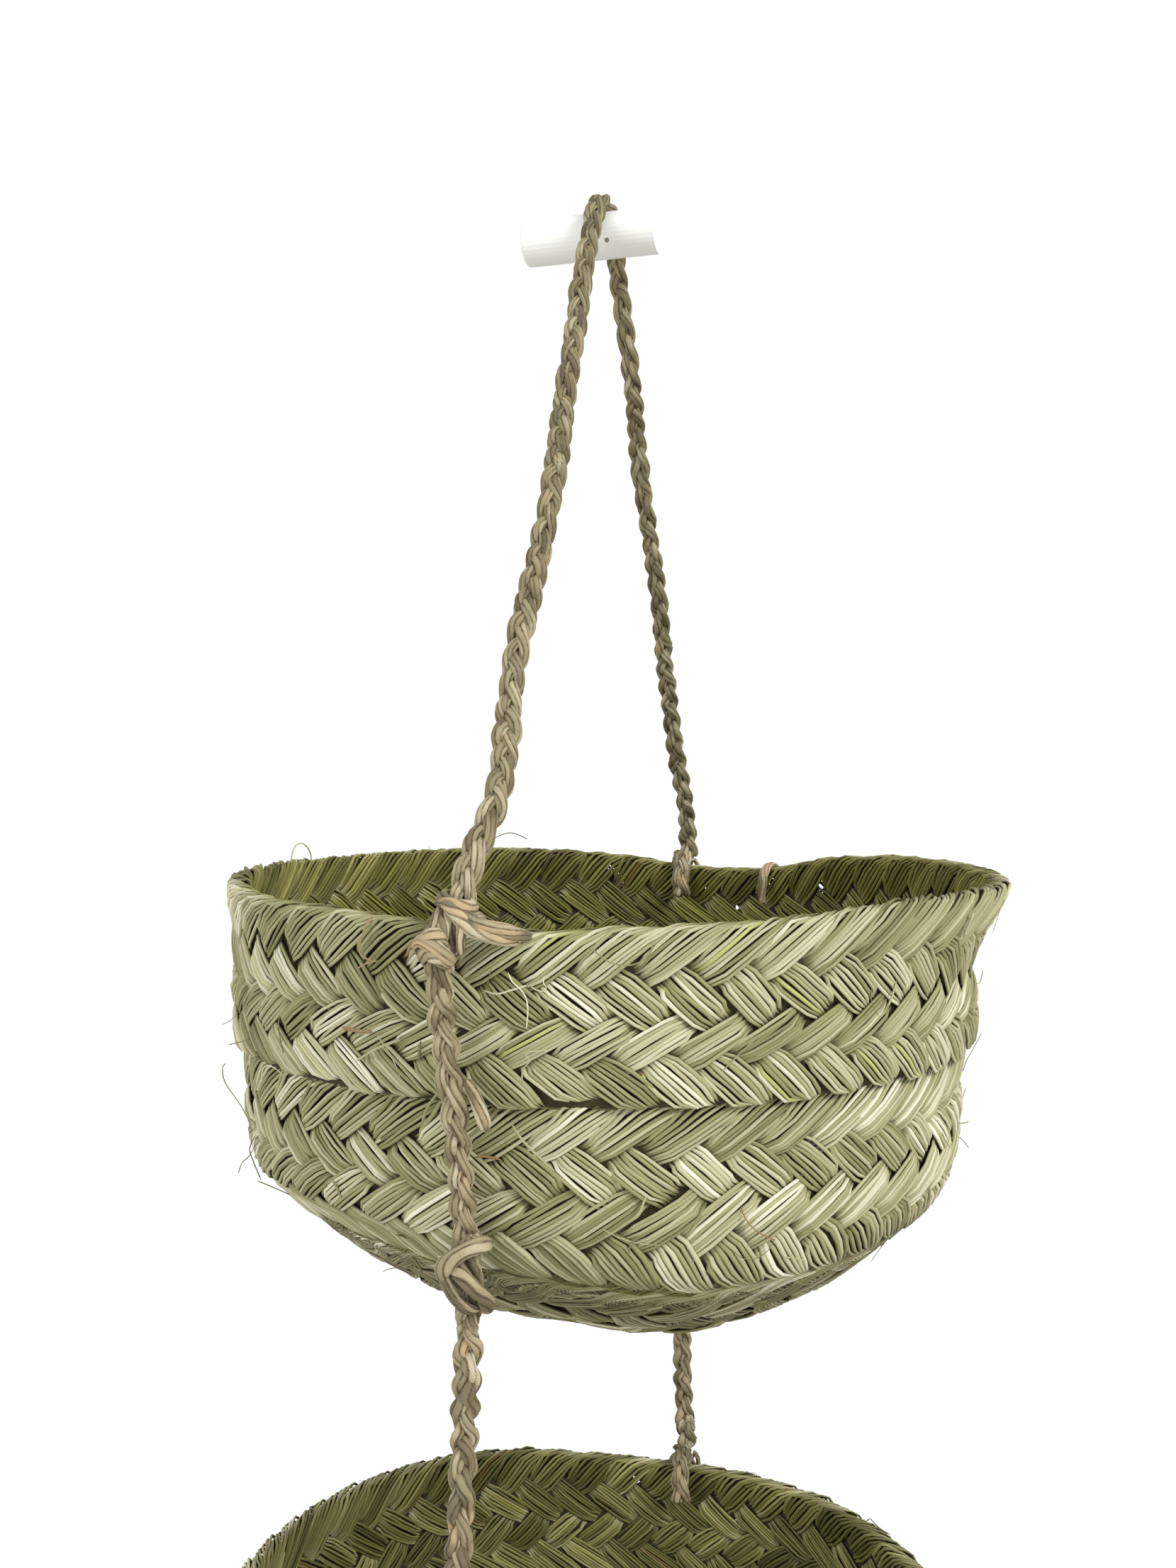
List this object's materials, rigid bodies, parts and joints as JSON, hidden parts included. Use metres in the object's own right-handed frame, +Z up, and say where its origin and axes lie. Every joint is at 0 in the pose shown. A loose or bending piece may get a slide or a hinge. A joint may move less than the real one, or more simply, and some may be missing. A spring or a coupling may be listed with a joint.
{
  "type": "two-tier hanging wall basket",
  "caption": "Plaited straw bowl basket hung by one rope over a wall peg, with an equal basket hung below it on the same rope.",
  "frame": {"origin": "centre of the peg's flat wall face", "axes": "+Z up, +Y into the wall along the peg, -Y out into the room, +X and -X the two sides of the rope"},
  "size_m": [0.3258, 0.2974, 0.7213],
  "materials": {
    "esparto_straw": "dry plaited esparto grass, sage green to straw",
    "seam_twine": "dry grass sewing cord in the shade of the seams",
    "palm_rope": "braided dry palm leaf, greige with peach strands",
    "peg_paint": "matt off-white paint"
  },
  "bodies": {
    "peg": {"wall_peg": "peg_paint"},
    "saddle": {"peg_saddle_rope": "palm_rope"},
    "hanger": {"front_leg_rope": "palm_rope", "back_leg_rope": "palm_rope"},
    "upper_basket": {"upper_rim_plait": "esparto_straw", "upper_wall_plait": "esparto_straw", "upper_corner_plait": "esparto_straw", "upper_base_plait": "esparto_straw", "upper_base_centre": "esparto_straw", "upper_rim_seam_cord": "seam_twine", "upper_wall_seam_cord": "seam_twine", "upper_corner_seam_cord": "seam_twine", "upper_base_seam_cord": "seam_twine", "front_rim_hitch": "palm_rope", "front_rim_knot": "palm_rope", "front_wall_rope": "palm_rope", "front_bottom_knot": "palm_rope", "front_rope_tail": "palm_rope", "rim_lashing_rope": "palm_rope", "back_rim_hitch": "palm_rope", "back_rim_knot": "palm_rope", "back_wall_rope": "palm_rope", "back_bottom_knot": "palm_rope", "back_rim_tie": "palm_rope"},
    "drop_heads": {"front_drop_head": "palm_rope", "back_drop_head": "palm_rope"},
    "front_drop": {"front_drop_rope": "palm_rope"},
    "back_drop": {"back_drop_rope": "palm_rope"},
    "drop_feet": {"front_drop_foot": "palm_rope", "back_drop_foot": "palm_rope"},
    "lower_basket": {"lower_rim_plait": "esparto_straw", "lower_wall_plait": "esparto_straw", "lower_corner_plait": "esparto_straw", "lower_base_plait": "esparto_straw", "lower_base_centre": "esparto_straw", "lower_rim_seam_cord": "seam_twine", "lower_wall_seam_cord": "seam_twine", "lower_corner_seam_cord": "seam_twine", "lower_base_seam_cord": "seam_twine", "lower_front_hitch": "palm_rope", "lower_front_knot": "palm_rope", "lower_back_hitch": "palm_rope", "lower_back_knot": "palm_rope"}
  },
  "joints": [
    {"name": "swing", "type": "hinge", "parent": "peg", "child": "saddle", "pos_m": [0, -0.0225, 0], "axis": [0, 1, 0], "range_deg": [-25, 25]},
    {"name": "lean", "type": "hinge", "parent": "saddle", "child": "hanger", "pos_m": [0, -0.0225, 0.00618], "axis": [1, 0, 0], "range_deg": [-30, 30]},
    {"name": "upper_tilt", "type": "hinge", "parent": "hanger", "child": "upper_basket", "pos_m": [0, -0.0225, -0.24671], "axis": [1, 0, 0], "range_deg": [-25, 25]},
    {"name": "lower_lean", "type": "hinge", "parent": "upper_basket", "child": "drop_heads", "pos_m": [0, -0.0225, -0.3883], "axis": [1, 0, 0], "range_deg": [-25, 25]},
    {"name": "front_sway", "type": "hinge", "parent": "drop_heads", "child": "front_drop", "pos_m": [0.142, -0.0225, -0.3983], "axis": [0, 1, 0], "range_deg": [-18, 18]},
    {"name": "back_sway", "type": "hinge", "parent": "drop_heads", "child": "back_drop", "pos_m": [-0.142, -0.0225, -0.3983], "axis": [0, 1, 0], "range_deg": [-18, 18]},
    {"name": "level", "type": "hinge", "parent": "front_drop", "child": "drop_feet", "pos_m": [0.142, -0.0225, -0.53271], "axis": [0, 1, 0], "range_deg": [-18, 18]},
    {"name": "lower_tilt", "type": "hinge", "parent": "drop_feet", "child": "lower_basket", "pos_m": [0, -0.0225, -0.54271], "axis": [1, 0, 0], "range_deg": [-25, 25]}
  ],
  "couplings": [
    {"joint": "back_sway", "follows": "front_sway", "ratio": 1},
    {"joint": "level", "follows": "front_sway", "ratio": -1}
  ]
}
